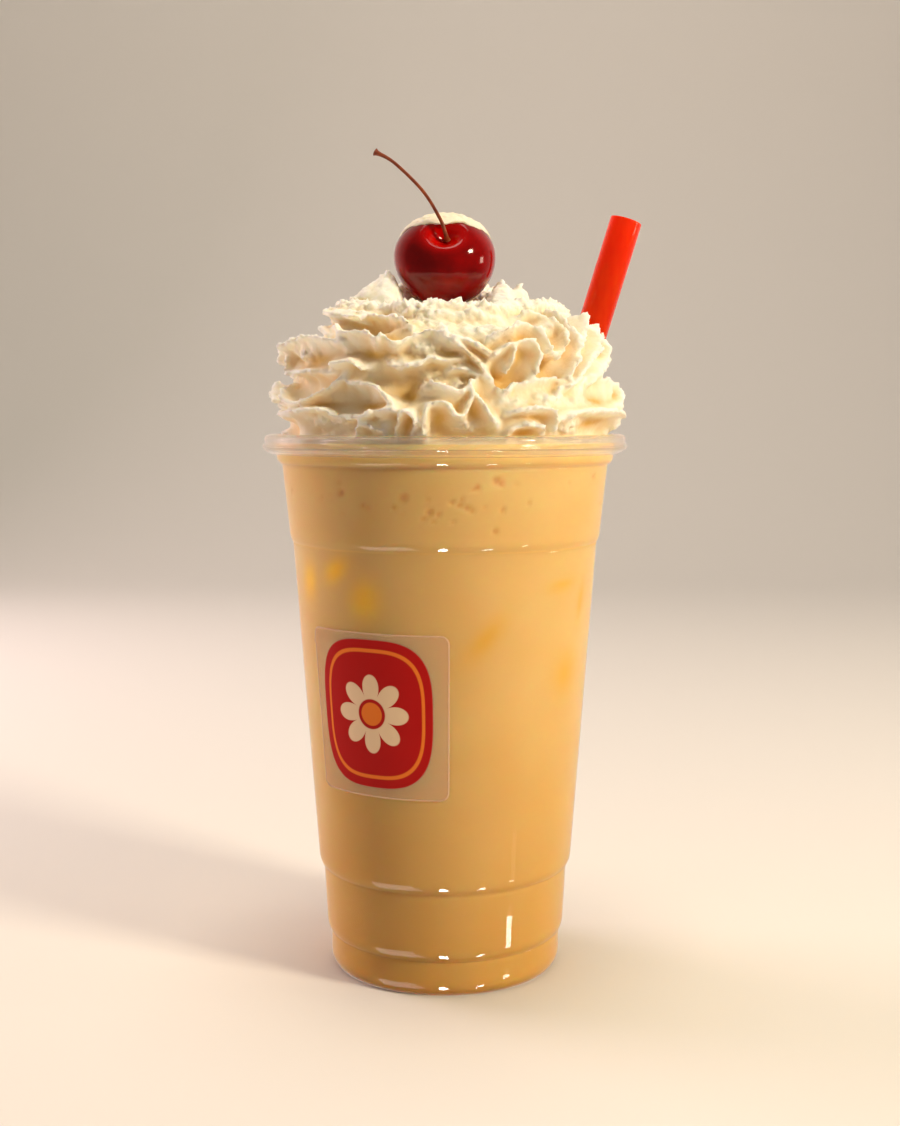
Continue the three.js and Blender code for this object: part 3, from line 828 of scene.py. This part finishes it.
# The ridges the nozzle left at the front, each as degrees right of the front and heights
CREAM_LIPS = [
    [
        (-67, 0.1773), (-52, 0.1762), (-44, 0.1757), (-33, 0.1746), (-25, 0.1738), (-17, 0.1729),
        (-12, 0.1718),
    ],
    [
        (-58, 0.1728), (-45, 0.1715), (-41, 0.1701), (-36, 0.1697), (-26, 0.1693), (-23, 0.1675),
        (-21, 0.1688), (-17, 0.1672), (-11, 0.1693),
    ],
    [(-41, 0.1626), (-36, 0.1631), (-31, 0.1633), (-28, 0.1618)],
    [(-18, 0.1631), (-15, 0.1619), (-12, 0.1622), (-9, 0.1626), (-5, 0.1640)],
    [(-36, 0.1582), (-31, 0.1579), (-27, 0.1577), (-23, 0.1564), (-19, 0.1552), (-15, 0.1519)],
    [
        (-80, 0.1502), (-59, 0.1508), (-50, 0.1514), (-42, 0.1512), (-37, 0.1499), (-27, 0.1499),
        (-22, 0.1511), (-16, 0.1514), (-12, 0.1509),
    ],
    [
        (-36, 0.1683), (-43, 0.1687), (-56, 0.1691), (-68, 0.1684), (-77, 0.1665), (-78, 0.1634),
        (-72, 0.1614), (-58, 0.1612), (-48, 0.1612), (-41, 0.1608),
    ],
    [(-80, 0.1588), (-68, 0.1549), (-58, 0.1528), (-49, 0.1539), (-41, 0.1574), (-37, 0.1600)],
    [
        (14, 0.1690), (20, 0.1703), (24, 0.1712), (27, 0.1713), (31, 0.1705), (34, 0.1680),
        (36, 0.1663), (42, 0.1648),
    ],
    [
        (20, 0.1610), (21, 0.1627), (22, 0.1651), (23, 0.1673), (26, 0.1680), (29, 0.1676),
        (31, 0.1655), (31, 0.1633), (30, 0.1602), (26, 0.1572),
    ],
    [(15, 0.1641), (17, 0.1656), (20, 0.1669), (23, 0.1673)],
    [(54, 0.1772), (53, 0.1735), (52, 0.1685), (49, 0.1636), (44, 0.1595)],
    [(68, 0.1748), (67, 0.1703), (65, 0.1676), (59, 0.1639), (50, 0.1597), (41, 0.1569)],
    [(80, 0.1727), (84, 0.1690), (82, 0.1656), (70, 0.1622), (58, 0.1593), (51, 0.1577)],
    [(36, 0.1760), (42, 0.1745), (47, 0.1720), (45, 0.1690), (42, 0.1648)],
    [(-12, 0.1690), (-5, 0.1700), (1, 0.1683), (7, 0.1659), (13, 0.1622), (15, 0.1592), (16, 0.1573)],
    [(-1, 0.1712), (3, 0.1690), (9, 0.1676), (15, 0.1647)],
    [(16, 0.1576), (19, 0.1552), (22, 0.1567), (28, 0.1577), (34, 0.1585), (40, 0.1588), (50, 0.1575)],
    [(50, 0.1564), (61, 0.1591), (74, 0.1584), (83, 0.1568), (80, 0.1527)],
    [(38, 0.1491), (46, 0.1507), (57, 0.1513), (74, 0.1510), (90, 0.1490)],
    [(21, 0.1507), (24, 0.1516), (29, 0.1519), (34, 0.1516), (36, 0.1497), (37, 0.1470)],
    [(20, 0.1457), (23, 0.1473), (27, 0.1482), (31, 0.1475), (33, 0.1457)],
    [
        (-5, 0.1527), (-1, 0.1532), (1, 0.1524), (3, 0.1506), (6, 0.1504), (8, 0.1549),
        (8, 0.1567), (9, 0.1579), (13, 0.1592),
    ],
    [(-15, 0.1452), (-14, 0.1480), (-12, 0.1509), (-10, 0.1511), (-8, 0.1490), (-10, 0.1452)],
    [(-6, 0.1452), (-6, 0.1490), (-5, 0.1523)],
    [(8, 0.1549), (11, 0.1530), (14, 0.1500), (17, 0.1480)],
    [(-7, 0.1580), (-2, 0.1566), (4, 0.1557), (7, 0.1560), (9, 0.1572)],
    [(-15, 0.1636), (-12, 0.1622), (-8, 0.1628), (-4, 0.1642), (0, 0.1634), (6, 0.1640)],
    [(1, 0.1610), (6, 0.1615), (12, 0.1600), (15, 0.1575)],
    [(-30, 0.1452), (-28, 0.1475), (-24, 0.1478), (-20, 0.1462)],
]
# Smooth hollows at the front, painted with amber shade: degrees right of the front, height, half width, half
# height
SHADED_HOLLOWS = [
    (-23, 0.1712, 0.0070, 0.0026), (-24, 0.1655, 0.0066, 0.0028), (-51, 0.1638, 0.0070, 0.0030),
    (-12, 0.1576, 0.0060, 0.0024), (-47, 0.1547, 0.0050, 0.0024), (-26, 0.1530, 0.0050, 0.0018),
    (-12, 0.1480, 0.0028, 0.0036), (-2, 0.1487, 0.0036, 0.0042), (25, 0.1640, 0.0030, 0.0036),
    (26, 0.1700, 0.0050, 0.0014), (38, 0.1615, 0.0046, 0.0034), (46, 0.1677, 0.0040, 0.0050),
    (9, 0.1652, 0.0060, 0.0022), (19, 0.1590, 0.0050, 0.0026), (10, 0.1516, 0.0028, 0.0046),
    (30, 0.1497, 0.0056, 0.0016), (26, 0.1460, 0.0036, 0.0012), (61, 0.1474, 0.0080, 0.0014),
    (64, 0.1554, 0.0050, 0.0022),
]
# Torn clumps at the front: degrees right of the front, height, half width, half height
CLUMPS = [
    (-6, 0.1748, 0.0110, 0.0040), (-7, 0.1668, 0.0040, 0.0026), (-4, 0.1595, 0.0036, 0.0022),
    (-42, 0.1487, 0.0090, 0.0024), (-21, 0.1480, 0.0040, 0.0026), (13, 0.1740, 0.0110, 0.0040),
    (23, 0.1540, 0.0050, 0.0022), (51, 0.1543, 0.0080, 0.0022), (5, 0.1590, 0.0034, 0.0018),
    (36, 0.1550, 0.0060, 0.0022), (-7, 0.1462, 0.0020, 0.0030), (-62, 0.1660, 0.0060, 0.0024),
    (8, 0.1470, 0.0040, 0.0018), (44, 0.1470, 0.0060, 0.0024),
]
# Fins that stand clear of the mound: width, then the places of the free edge
FINS = [
    (0.0100, [
        (0.0376, -0.0180, 0.1766), (0.0368, -0.0225, 0.1728), (0.0355, -0.0268, 0.1688),
        (0.0338, -0.0298, 0.1639), (0.0319, -0.0322, 0.1597),
    ]),
    (0.0095, [
        (0.0406, -0.0140, 0.1742), (0.0402, -0.0172, 0.1702), (0.0399, -0.0194, 0.1675),
        (0.0379, -0.0240, 0.1640), (0.0347, -0.0290, 0.1600), (0.0315, -0.0330, 0.1573),
    ]),
    (0.0090, [
        (0.0420, -0.0080, 0.1716), (0.0440, -0.0072, 0.1684), (0.0440, -0.0088, 0.1650),
        (0.0420, -0.0140, 0.1620), (0.0390, -0.0200, 0.1594), (0.0370, -0.0235, 0.1579),
    ]),
    (0.0075, [
        (-0.0322, -0.0080, 0.1777), (-0.0310, -0.0150, 0.1765), (-0.0275, -0.0218, 0.1758),
        (-0.0218, -0.0274, 0.1748),
    ]),
    (0.0085, [
        (-0.0330, -0.0100, 0.1735), (-0.0324, -0.0172, 0.1724), (-0.0306, -0.0230, 0.1708),
        (-0.0275, -0.0278, 0.1699), (-0.0190, -0.0345, 0.1692),
    ]),
    (0.0080, [
        (-0.0330, -0.0210, 0.1694), (-0.0372, -0.0190, 0.1698), (-0.0425, -0.0130, 0.1690),
        (-0.0446, -0.0060, 0.1668), (-0.0452, -0.0030, 0.1640),
    ]),
    (0.0070, [(-0.0462, -0.0010, 0.1590), (-0.0466, -0.0060, 0.1562), (-0.0448, -0.0150, 0.1538)]),
]
FRONT_EDGE = (radians(72), radians(90))
LIP_SPREAD = 0.0017
LAYER_FOOT = 0.1460
LAYER = 0.0059
TOP_TORN = (0.1735, 0.1790)
HOLLOW_DEPTH = 0.0054
LIP_RISE = 0.0006
LIP_DROOP = 0.0006
LIP_WIDTH = 0.0056
LIP_THICKNESS = 0.0013
LIP_SINK = 0.0008
FULL_LIP = 0.0012
FULL_EDGE = 0.0009
# Each peak: foot, tip, foot radius
PEAKS = [
    ((-0.0190, -0.0060, 0.1790), (-0.0150, -0.0040, 0.1884), 0.0046),
    ((-0.0245, -0.0080, 0.1750), (-0.0222, -0.0060, 0.1828), 0.0040),
    ((-0.0158, -0.0085, 0.1765), (-0.0146, -0.0050, 0.1884), 0.0062),
    ((0.0150, -0.0110, 0.1755), (0.0150, -0.0070, 0.1854), 0.0062),
    ((0.0165, -0.0080, 0.1780), (0.0172, -0.0060, 0.1836), 0.0044),
    ((0.0192, -0.0050, 0.1780), (0.0197, -0.0040, 0.1848), 0.0040),
    ((0.0235, -0.0080, 0.1760), (0.0262, -0.0060, 0.1812), 0.0040),
    ((0.0190, 0.0090, 0.1790), (0.0170, 0.0080, 0.1850), 0.0044),
    ((-0.0160, 0.0120, 0.1790), (-0.0130, 0.0100, 0.1862), 0.0046),
    ((0.0010, 0.0190, 0.1800), (0.0010, 0.0155, 0.1872), 0.0050),
]
GRAIN = 0.00085
NECK_FILL = 0.0436
CREAM_REACH = 0.0486

cream = spin_profile(MOUND, MOUND_SPIN, False)
for front, right, height, rise_right, rise_back, rope in CREAM_RINGS:
    before = set(cream.verts)
    circle = bmesh.ops.create_circle(cream, segments=ROPE_SIDES, radius=rope)["verts"]
    stand_up = Matrix.Translation((front - rope, 0, height)) @ Matrix.Rotation(pi / 2, 4, "X")
    bmesh.ops.transform(cream, matrix=stand_up, verts=circle)
    loop = list(dict.fromkeys(edge for vert in circle for edge in vert.link_edges))
    bmesh.ops.spin(
        cream, geom=circle + loop, cent=(0, 0, 0), axis=(0, 0, 1), angle=tau, steps=RING_SPIN, use_merge=True
    )
    for vert in (v for v in cream.verts if v not in before):
        turn = around_cup(vert.co)
        lobes = 0.0011 * sin(5 * turn + 260 * height) + 0.0009 * sin(8 * turn + 600 * height)
        vert.co += outward(turn) * (right * sin(turn) + lobes)
        vert.co.z += rise_right * sin(turn) - rise_back * cos(turn)
bmesh.ops.recalc_face_normals(cream, faces=cream.faces)


def remeshed(bm, voxel):
    """One closed skin round every body of a mesh."""
    mesh = bpy.data.meshes.new("bodies")
    bm.to_mesh(mesh)
    bm.free()
    holder = bpy.data.objects.new("bodies", mesh)
    bpy.context.scene.collection.objects.link(holder)
    modifier = holder.modifiers.new("skin", "REMESH")
    modifier.mode = "VOXEL"
    modifier.voxel_size = voxel
    graph = bpy.context.evaluated_depsgraph_get()
    skin = bmesh.new()
    skin.from_mesh(holder.evaluated_get(graph).to_mesh())
    bpy.data.objects.remove(holder)
    bpy.data.meshes.remove(mesh)
    skin.verts.ensure_lookup_table()
    return skin


def places_of(bm):
    """Every vertex's place and normal, and the index pairs of the edges, as arrays."""
    bm.verts.index_update()
    bm.normal_update()
    points = np.array([v.co for v in bm.verts])
    normals = np.array([v.normal for v in bm.verts])
    pairs = np.array([[v.index for v in e.verts] for e in bm.edges])
    return points, normals, pairs


def evened(points, pairs, rounds):
    """Points moved towards the mean of their neighbours, a number of times."""
    count = np.bincount(pairs.ravel(), minlength=len(points))
    for _ in range(rounds):
        mean = [
            np.bincount(pairs[:, 0], points[pairs[:, 1], k], len(points))
            + np.bincount(pairs[:, 1], points[pairs[:, 0], k], len(points))
            for k in range(3)
        ]
        points = (np.array(mean) / count).T
    return points


bm = remeshed(cream, CREAM_VOXEL)
points, normals, pairs = places_of(bm)
for vert, place in zip(bm.verts, evened(points, pairs, 16)):
    vert.co = place
base_points, base_normals, pairs = places_of(bm)
base_normals = evened(base_normals, pairs, 20)
base_normals /= np.linalg.norm(base_normals, axis=1)[:, None]
base_turn = np.arctan2(base_points[:, 0], -base_points[:, 1])
base_radius = np.hypot(base_points[:, 0], base_points[:, 1])


def on_cream(turn_degrees, height):
    """Index of the outermost point of the plain mound at a turn and a height."""
    apart = (base_turn - radians(turn_degrees) + pi) % tau - pi
    miss = np.abs(apart) * base_radius + np.abs(base_points[:, 2] - height)
    return int(np.argmin(miss - 0.12 * base_radius))


def spread_of(spots):
    """How far each point of the mound lies within any of some soft oval spots, 0 to 1."""
    share = np.zeros(len(base_points))
    for turn, height, wide, tall in spots:
        apart = (base_turn - radians(turn)) * base_radius
        above = base_points[:, 2] - height
        share = np.maximum(share, np.exp(-((apart / wide) ** 2) - (above / tall) ** 2))
    return share


wander = np.array([noise.noise_vector(Vector(p) * 260) for p in base_points]) * 0.0007
across = base_turn * base_radius + wander[:, 0]
up = base_points[:, 2] + wander[:, 1]
from_lip = np.full(len(base_points), 1.0)
for route in CREAM_LIPS:
    for (turn, height), (next_turn, next_height) in zip(route, route[1:]):
        start_x, run_x = radians(turn) * base_radius, radians(next_turn - turn) * base_radius
        run_z = next_height - height
        share = ((across - start_x) * run_x + (up - height) * run_z) / (run_x**2 + run_z**2 + 1e-12)
        share = np.clip(share, 0, 1)
        gap = np.hypot(across - start_x - share * run_x, up - height - share * run_z)
        from_lip = np.minimum(from_lip, gap)
front_share = np.clip((FRONT_EDGE[1] - np.abs(base_turn)) / (FRONT_EDGE[1] - FRONT_EDGE[0]), 0, 1)
top_share = np.clip((base_points[:, 2] - TOP_TORN[0]) / (TOP_TORN[1] - TOP_TORN[0]), 0, 1)
front_share *= 1 - top_share
hollow_amber_shade = spread_of(SHADED_HOLLOWS) * front_share
clumps = spread_of(CLUMPS) * front_share
front_crest = np.exp(-from_lip / LIP_SPREAD)

states = []
lips_and_hollows = kdtree.KDTree(len(base_points))
for vert in bm.verts:
    i = vert.index
    place, out = vert.co.copy(), Vector(base_normals[i])
    layer = (place.z - LAYER_FOOT) / LAYER
    layer += 0.85 * noise.noise(place * 66) + 0.50 * noise.noise(place * 140 + Vector((7, 0, 0)))
    layer_crest = abs(2 * (layer % 1.0) - 1) ** 1.8
    layer_torn = smooth(2.2 * noise.noise(place * 62 + Vector((0, 5, 3))) + 0.1)
    front = front_share[i]
    crest = front * front_crest[i] + (1 - front) * layer_crest
    torn = front * clumps[i] + (1 - front) * max(layer_torn, top_share[i])
    deep = HOLLOW_DEPTH * (0.8 + 0.5 * noise.noise(place * 90 + Vector((3, 3, 0)))) * (1 - 0.72 * torn)
    vert.co = place + out * (LIP_RISE * crest - deep * (1 - crest))
    vert.co.z -= LIP_DROOP * crest
    # Painted shade: amber laid into the listed hollows at the front and into the low parts between layers
    # elsewhere
    hollow_shade = front * hollow_amber_shade[i] * (1 - 0.6 * front_crest[i])
    hollow_shade += (1 - front) * 0.6 * (1 - layer_crest) ** 2 * (1 - torn)
    states.append((torn, hollow_shade))
    lips_and_hollows.insert(vert.co, i)
lips_and_hollows.balance()


def ribbon_station(route, share, out, wide, thick, sink):
    """A matrix that sets a flat circle across a route: wide along out, thin aside, sunk inwards."""
    run = heading(route, share).normalized()
    aside = run.cross(out).normalized()
    turned = Matrix((out * wide, aside * thick, run * thick)).transposed().to_4x4()
    return Matrix.Translation(along_route(route, share) - out * sink) @ turned


folds = bmesh.new()
for ridge in CREAM_LIPS:
    seats = [on_cream(turn, height) for turn, height in ridge]
    route = [Vector(base_points[seat]) for seat in seats]
    outs = [Vector(base_normals[seat]) for seat in seats]
    stations = []
    for share in shares(FOLD_STEPS * (len(route) - 1)):
        here = along_route(route, share)
        out = along_route(outs, share).normalized()
        ends = 0.35 + 0.65 * smooth(min(share, 1 - share) * 6)
        wave = 1 + 0.24 * noise.noise(here * 240) + 0.16 * noise.noise(here * 700)
        wide = LIP_WIDTH / 2 * ends * wave
        thick = LIP_THICKNESS / 2 * (1 + 0.5 * noise.noise(here * 330))
        stations.append(ribbon_station(route, share, out, wide, thick, LIP_SINK))
    sweep_circle(folds, FOLD_SIDES, stations)
for width, free_edge in FINS:
    route = [Vector(place) for place in free_edge]
    stations = []
    for share in shares(FOLD_STEPS * (len(route) - 1)):
        here = along_route(route, share)
        out = outward(around_cup(here)) + Vector((0, 0, 0.25))
        wide = width / 2 * (1 + 0.10 * noise.noise(here * 700))
        thick = LIP_THICKNESS / 2 * (1.3 + 0.5 * noise.noise(here * 330))
        stations.append(ribbon_station(route, share, out.normalized(), wide, thick, width / 2))
    sweep_circle(folds, FOLD_SIDES, stations)
for foot, tip, thick in PEAKS:
    foot, tip = Vector(foot), Vector(tip)
    stations = []
    for share in shares(PEAK_STEPS):
        taper = 1 - 0.92 * share**1.3
        uneven = 1 + 0.2 * noise.noise(foot * 500 + Vector((0, 0, share * 3)))
        stations.append(round_station(foot.lerp(tip, share), tip - foot, thick * taper * uneven))
    sweep_circle(folds, PEAK_SIDES, stations)
bmesh.ops.holes_fill(folds, edges=folds.edges, sides=PEAK_SIDES)
bmesh.ops.recalc_face_normals(folds, faces=folds.faces)
fold_mesh = bpy.data.meshes.new("folds")
folds.to_mesh(fold_mesh)
folds.free()
bm.from_mesh(fold_mesh)
bpy.data.meshes.remove(fold_mesh)

bm = remeshed(bm, CREAM_VOXEL)
points, normals, pairs = places_of(bm)
points = evened(points, pairs, 1)
stand_out = ((points - evened(points, pairs, 30)) * normals).sum(1)
lip_layer = bm.verts.layers.float.new("lip")
hollow_shade_layer = bm.verts.layers.float.new("hollow_shade")
for vert, place, out, height in zip(bm.verts, points, normals, stand_out):
    place, out = Vector(place), Vector(out)
    _, nearest, gap = lips_and_hollows.find(place)
    torn, hollow_shade = states[nearest] if gap < FULL_LIP else (0.0, 0.0)
    vert[lip_layer] = min(max(height / FULL_LIP, -1.0), 1.0)
    vert[hollow_shade_layer] = hollow_shade
    edge = min(max(height / FULL_EDGE, 0.0), 1.0)
    grain = 0.12 + 0.9 * edge + 1.1 * torn
    rough = noise.fractal(place * 520, 0.55, 2.3, 4)
    place += out * GRAIN * grain * rough
    radius = hypot(place.x, place.y)
    if place.z < DRINK_LEVEL:
        limit = NECK_FILL
    elif place.z < BEAD_CENTRE[1] + BEAD_RADIUS + 0.0002:
        limit = BEAD_CENTRE[0] - BEAD_RADIUS - 0.0003
    else:
        limit = CREAM_REACH
    if radius > limit:
        place.x *= limit / radius
        place.y *= limit / radius
    vert.co = place

whipped, nodes, links, shader = new_material("whipped_cream")
# Painted shade: the colour deepens where the cream lies sunk and turns amber in its hollows
lift = ranged(carried("lip"), -0.9, 0.35)
tones = toned(lift, (0.0, CREAM_RECESS_SHADE), (0.5, CREAM_MIDDLE), (1.0, CREAM_PALE))
links.new(paint(tones, CREAM_HOLLOW_SHADE, carried("hollow_shade")), shader.inputs["Base Color"])
relief(speckle(1300, 4), 0.3, 0.0003)
shader.inputs["Roughness"].default_value = 0.5
shader.inputs["Subsurface Weight"].default_value = 0.35
shader.inputs["Subsurface Radius"].default_value = (1.0, 0.75, 0.4)
shader.inputs["Subsurface Scale"].default_value = 0.002

cream_piece = make_piece("piped_cream", bm, whipped)
thinned = cream_piece.modifiers.new("thinned", "DECIMATE")
thinned.ratio = CREAM_KEPT
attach(cream_piece, "root")
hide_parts("whipped_cream")

# Cream smear: a thin skin of the same cream drawn over the back of the cherry's crown, uneven in
# thickness and along its edge.
SMEAR_AXIS = radians(25)
SMEAR_SPREAD = radians(68)
SMEAR_THICKNESS = 0.0009
SMEAR_SINK = 0.0002
SMEAR_RINGS = 40
SMEAR_SIDES = 160
# The smear takes a slightly deep tone and some amber: partly the cherry's red seen through the thin skin,
# partly painted shade
SMEAR_LIP = 0.2
SMEAR_HOLLOW_SHADE = 0.2

smear_middle = Vector((0, sin(SMEAR_AXIS), cos(SMEAR_AXIS)))
smear_turn = smear_middle.to_track_quat("Z", "Y").to_matrix()
cap = [(sin(SMEAR_SPREAD * share), cos(SMEAR_SPREAD * share)) for share in shares(SMEAR_RINGS)]
bm = spin_profile(cap, SMEAR_SIDES, False)
lip_layer = bm.verts.layers.float.new("lip")
hollow_shade_layer = bm.verts.layers.float.new("hollow_shade")
for vert in bm.verts:
    polar = atan2(hypot(vert.co.x, vert.co.y), vert.co.z)
    turn = atan2(vert.co.y, vert.co.x)
    polar *= 1 + 0.035 * sin(5 * turn + 1) + 0.025 * sin(9 * turn) + 0.012 * sin(23 * turn + 2)
    share = polar / SMEAR_SPREAD
    direction = smear_turn @ Vector((sin(polar) * cos(turn), sin(polar) * sin(turn), cos(polar)))
    bumps = 0.75 + 0.35 * noise.fractal(direction * 9, 0.8, 2, 4)
    layer = SMEAR_THICKNESS * bumps * sqrt(max(1 - min(share, 1) ** 5, 0.02))
    vert.co = CHERRY_CENTRE + direction * (cherry_reach(direction) + layer)
    vert[lip_layer] = SMEAR_LIP
    vert[hollow_shade_layer] = SMEAR_HOLLOW_SHADE
bmesh.ops.recalc_face_normals(bm, faces=bm.faces)
rim = [e for e in bm.edges if e.is_boundary]
grown = bmesh.ops.extrude_edge_only(bm, edges=rim)["geom"]
for vert in (g for g in grown if isinstance(g, bmesh.types.BMVert)):
    direction = (vert.co - CHERRY_CENTRE).normalized()
    vert.co = CHERRY_CENTRE + direction * (cherry_reach(direction) - SMEAR_SINK)
bottom = [g for g in grown if isinstance(g, bmesh.types.BMEdge)]
bmesh.ops.contextual_create(bm, geom=bottom)
bmesh.ops.triangulate(bm, faces=[f for f in bm.faces if len(f.verts) > 4])
bmesh.ops.recalc_face_normals(bm, faces=bm.faces)
smear = make_piece("cherry_smear", bm, whipped)
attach(smear, "root")
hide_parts("cherry_cream")
